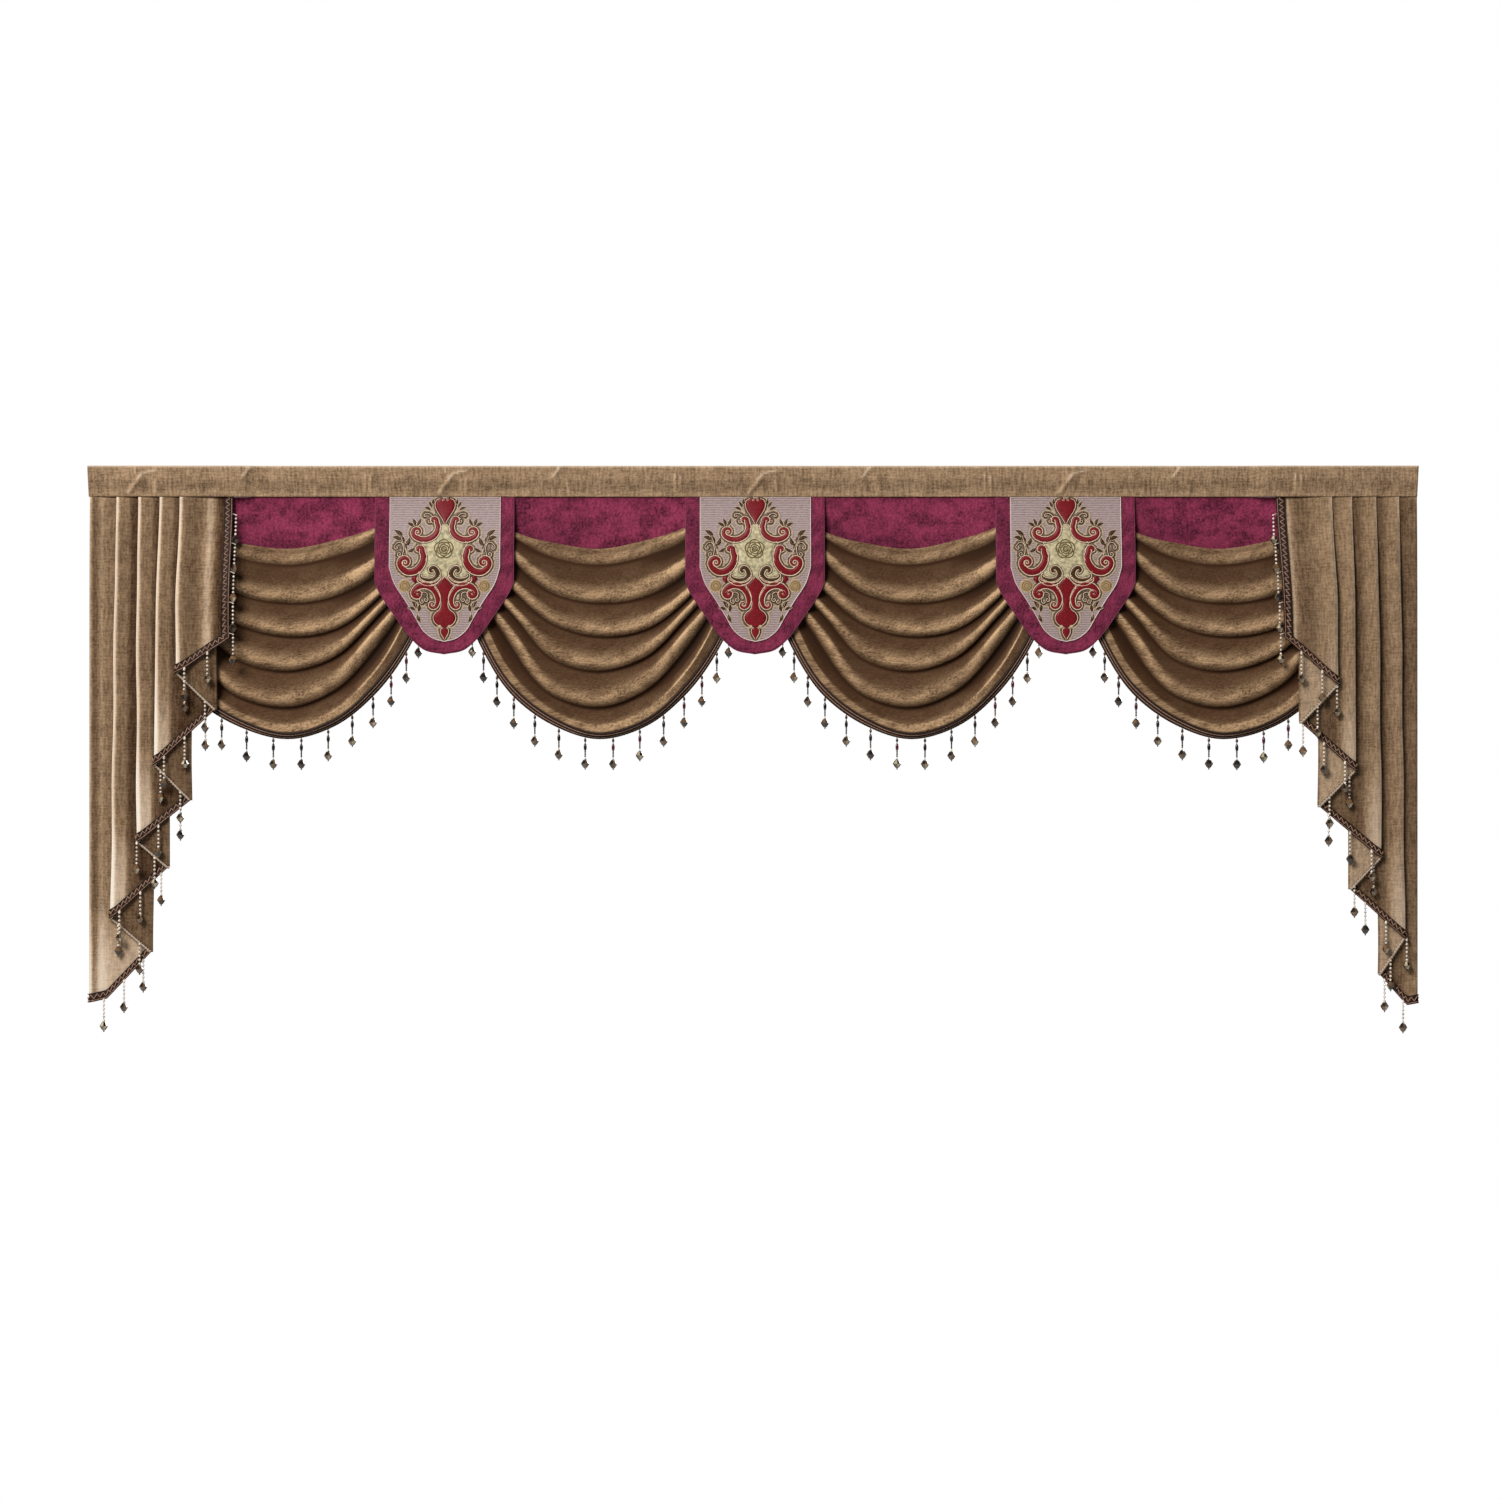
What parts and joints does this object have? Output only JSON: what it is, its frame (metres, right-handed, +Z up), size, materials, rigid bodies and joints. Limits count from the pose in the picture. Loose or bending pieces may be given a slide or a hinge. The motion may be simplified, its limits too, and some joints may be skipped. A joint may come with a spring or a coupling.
{
  "type": "swag and tail valance",
  "caption": "Window valance: a flat cloth heading with draped velvet swags, pointed brocade tabs and pleated tails, edged with braid and beaded drops.",
  "frame": {"origin": "middle of the heading's top edge, on the flat back face that goes against the wall or pelmet board", "axes": "+X runs along the heading to the right as the valance is looked at, +Y points back to the wall, +Z is up; the swags stand forward along -Y"},
  "size_m": [2.99, 0.0883, 1.2749],
  "materials": {
    "heading_cloth": "matte",
    "tail_cloth": "matte",
    "swag_velvet": "satin",
    "wine_velvet": "satin",
    "brocade": "satin",
    "braid": "satin"
  },
  "bodies": {
    "root": {"back_panel": "wine_velvet", "heading": "heading_cloth", "swag_1": "swag_velvet", "swag_2": "swag_velvet", "swag_3": "swag_velvet", "swag_4": "swag_velvet", "swag_trim_1": "braid", "swag_trim_2": "braid", "swag_trim_3": "braid", "swag_trim_4": "braid", "tab_back_1": "wine_velvet", "tab_back_2": "wine_velvet", "tab_back_3": "wine_velvet", "tab_front_1": "brocade", "tab_front_2": "brocade", "tab_front_3": "brocade", "tail_left": "tail_cloth", "tail_right": "tail_cloth", "tail_trim_left": "braid", "tail_trim_right": "braid"}
  },
  "joints": []
}
